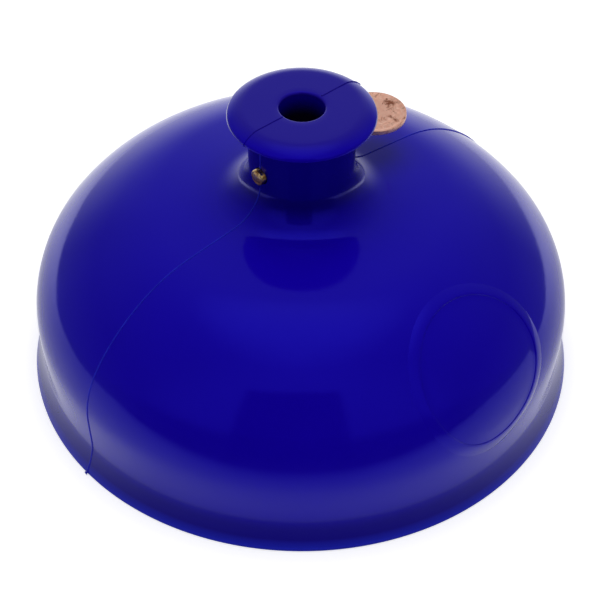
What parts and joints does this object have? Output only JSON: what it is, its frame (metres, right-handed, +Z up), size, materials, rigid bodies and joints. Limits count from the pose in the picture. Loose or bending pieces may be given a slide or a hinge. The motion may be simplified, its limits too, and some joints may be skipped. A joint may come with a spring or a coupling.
{
  "type": "plunger mute",
  "caption": "Blue moulded plunger mute for a brass instrument, with a spool knob and a thumb-turned valve in the knob's vent.",
  "frame": {"origin": "centre of the flat ring that the cup stands on, on the cup's axis", "axes": "+Z up through the knob, along the cup's axis; +X along the valve spindle towards the coin, in the plane of the mould's parting line; +Y completes the frame"},
  "size_m": [0.1694, 0.168, 0.0945],
  "materials": {
    "cup_vinyl": "glossy moulded soft vinyl, ultramarine blue",
    "spindle_brass": "turned and polished brass rod",
    "disc_brass": "sheet brass",
    "screw_brass": "turned brass",
    "coin_copper": "worn copper",
    "rivet_brass": "peened brass"
  },
  "bodies": {
    "cup": {"moulded_cup": "cup_vinyl"},
    "valve": {"valve_spindle": "spindle_brass", "valve_disc": "disc_brass", "disc_screws": "screw_brass", "thumb_coin": "coin_copper", "coin_rivet": "rivet_brass"}
  },
  "joints": [
    {"name": "valve_turn", "type": "hinge", "parent": "cup", "child": "valve", "pos_m": [0, 0, 0.07727], "axis": [1, 0, 0], "continuous": true}
  ]
}
